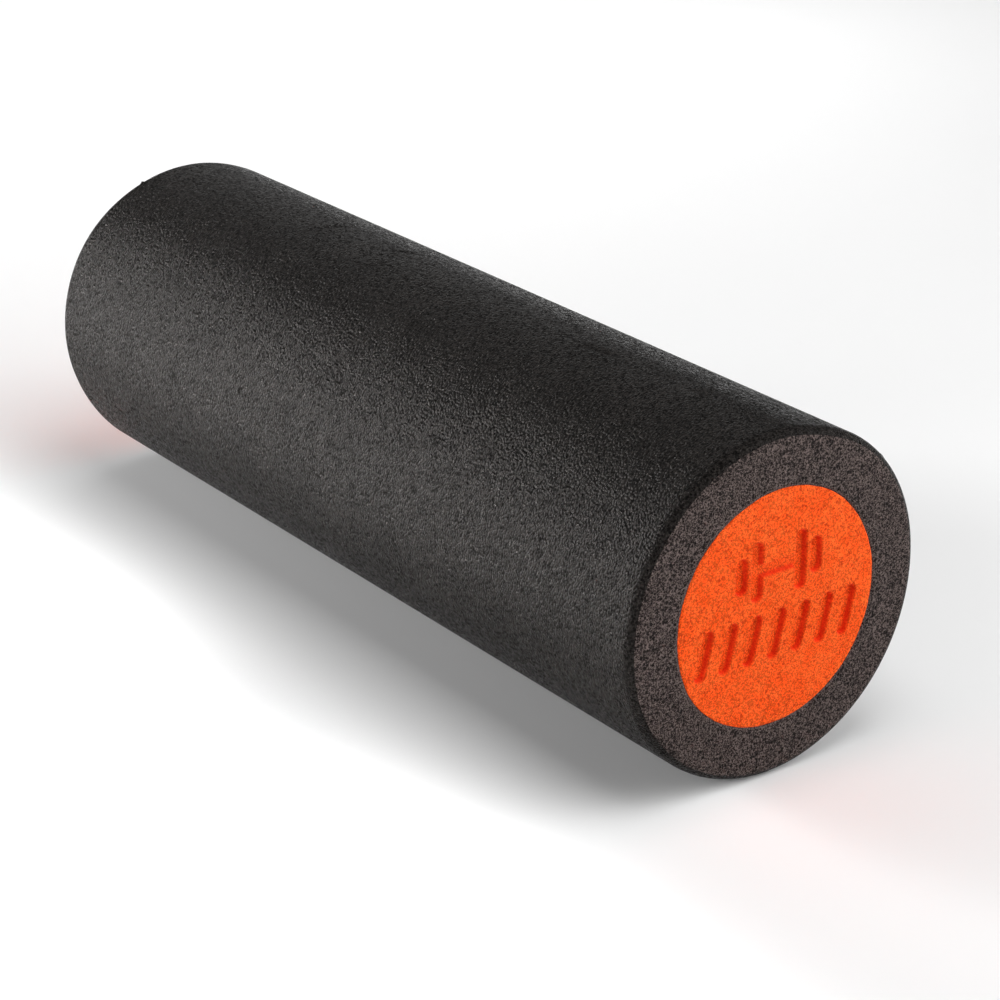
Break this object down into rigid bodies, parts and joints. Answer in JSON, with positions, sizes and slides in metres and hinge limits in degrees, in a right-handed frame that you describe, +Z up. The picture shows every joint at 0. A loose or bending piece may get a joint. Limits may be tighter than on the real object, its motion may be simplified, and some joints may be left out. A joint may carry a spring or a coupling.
{
  "type": "foam roller",
  "caption": "Solid two-colour foam roller for exercise and self-massage: a black foam sleeve welded round an orange foam core, with a pressed mark on one end.",
  "frame": {"origin": "on the floor, under the middle of the roller lying on its side", "axes": "+X along the roller's axis towards the end with the pressed mark, +Z up (the mark reads upright)"},
  "size_m": [0.45, 0.15, 0.15],
  "materials": {
    "black_foam": "matte",
    "orange_foam": "matte"
  },
  "bodies": {
    "root": {"outer_sleeve": "black_foam", "inner_core": "orange_foam"}
  },
  "joints": []
}
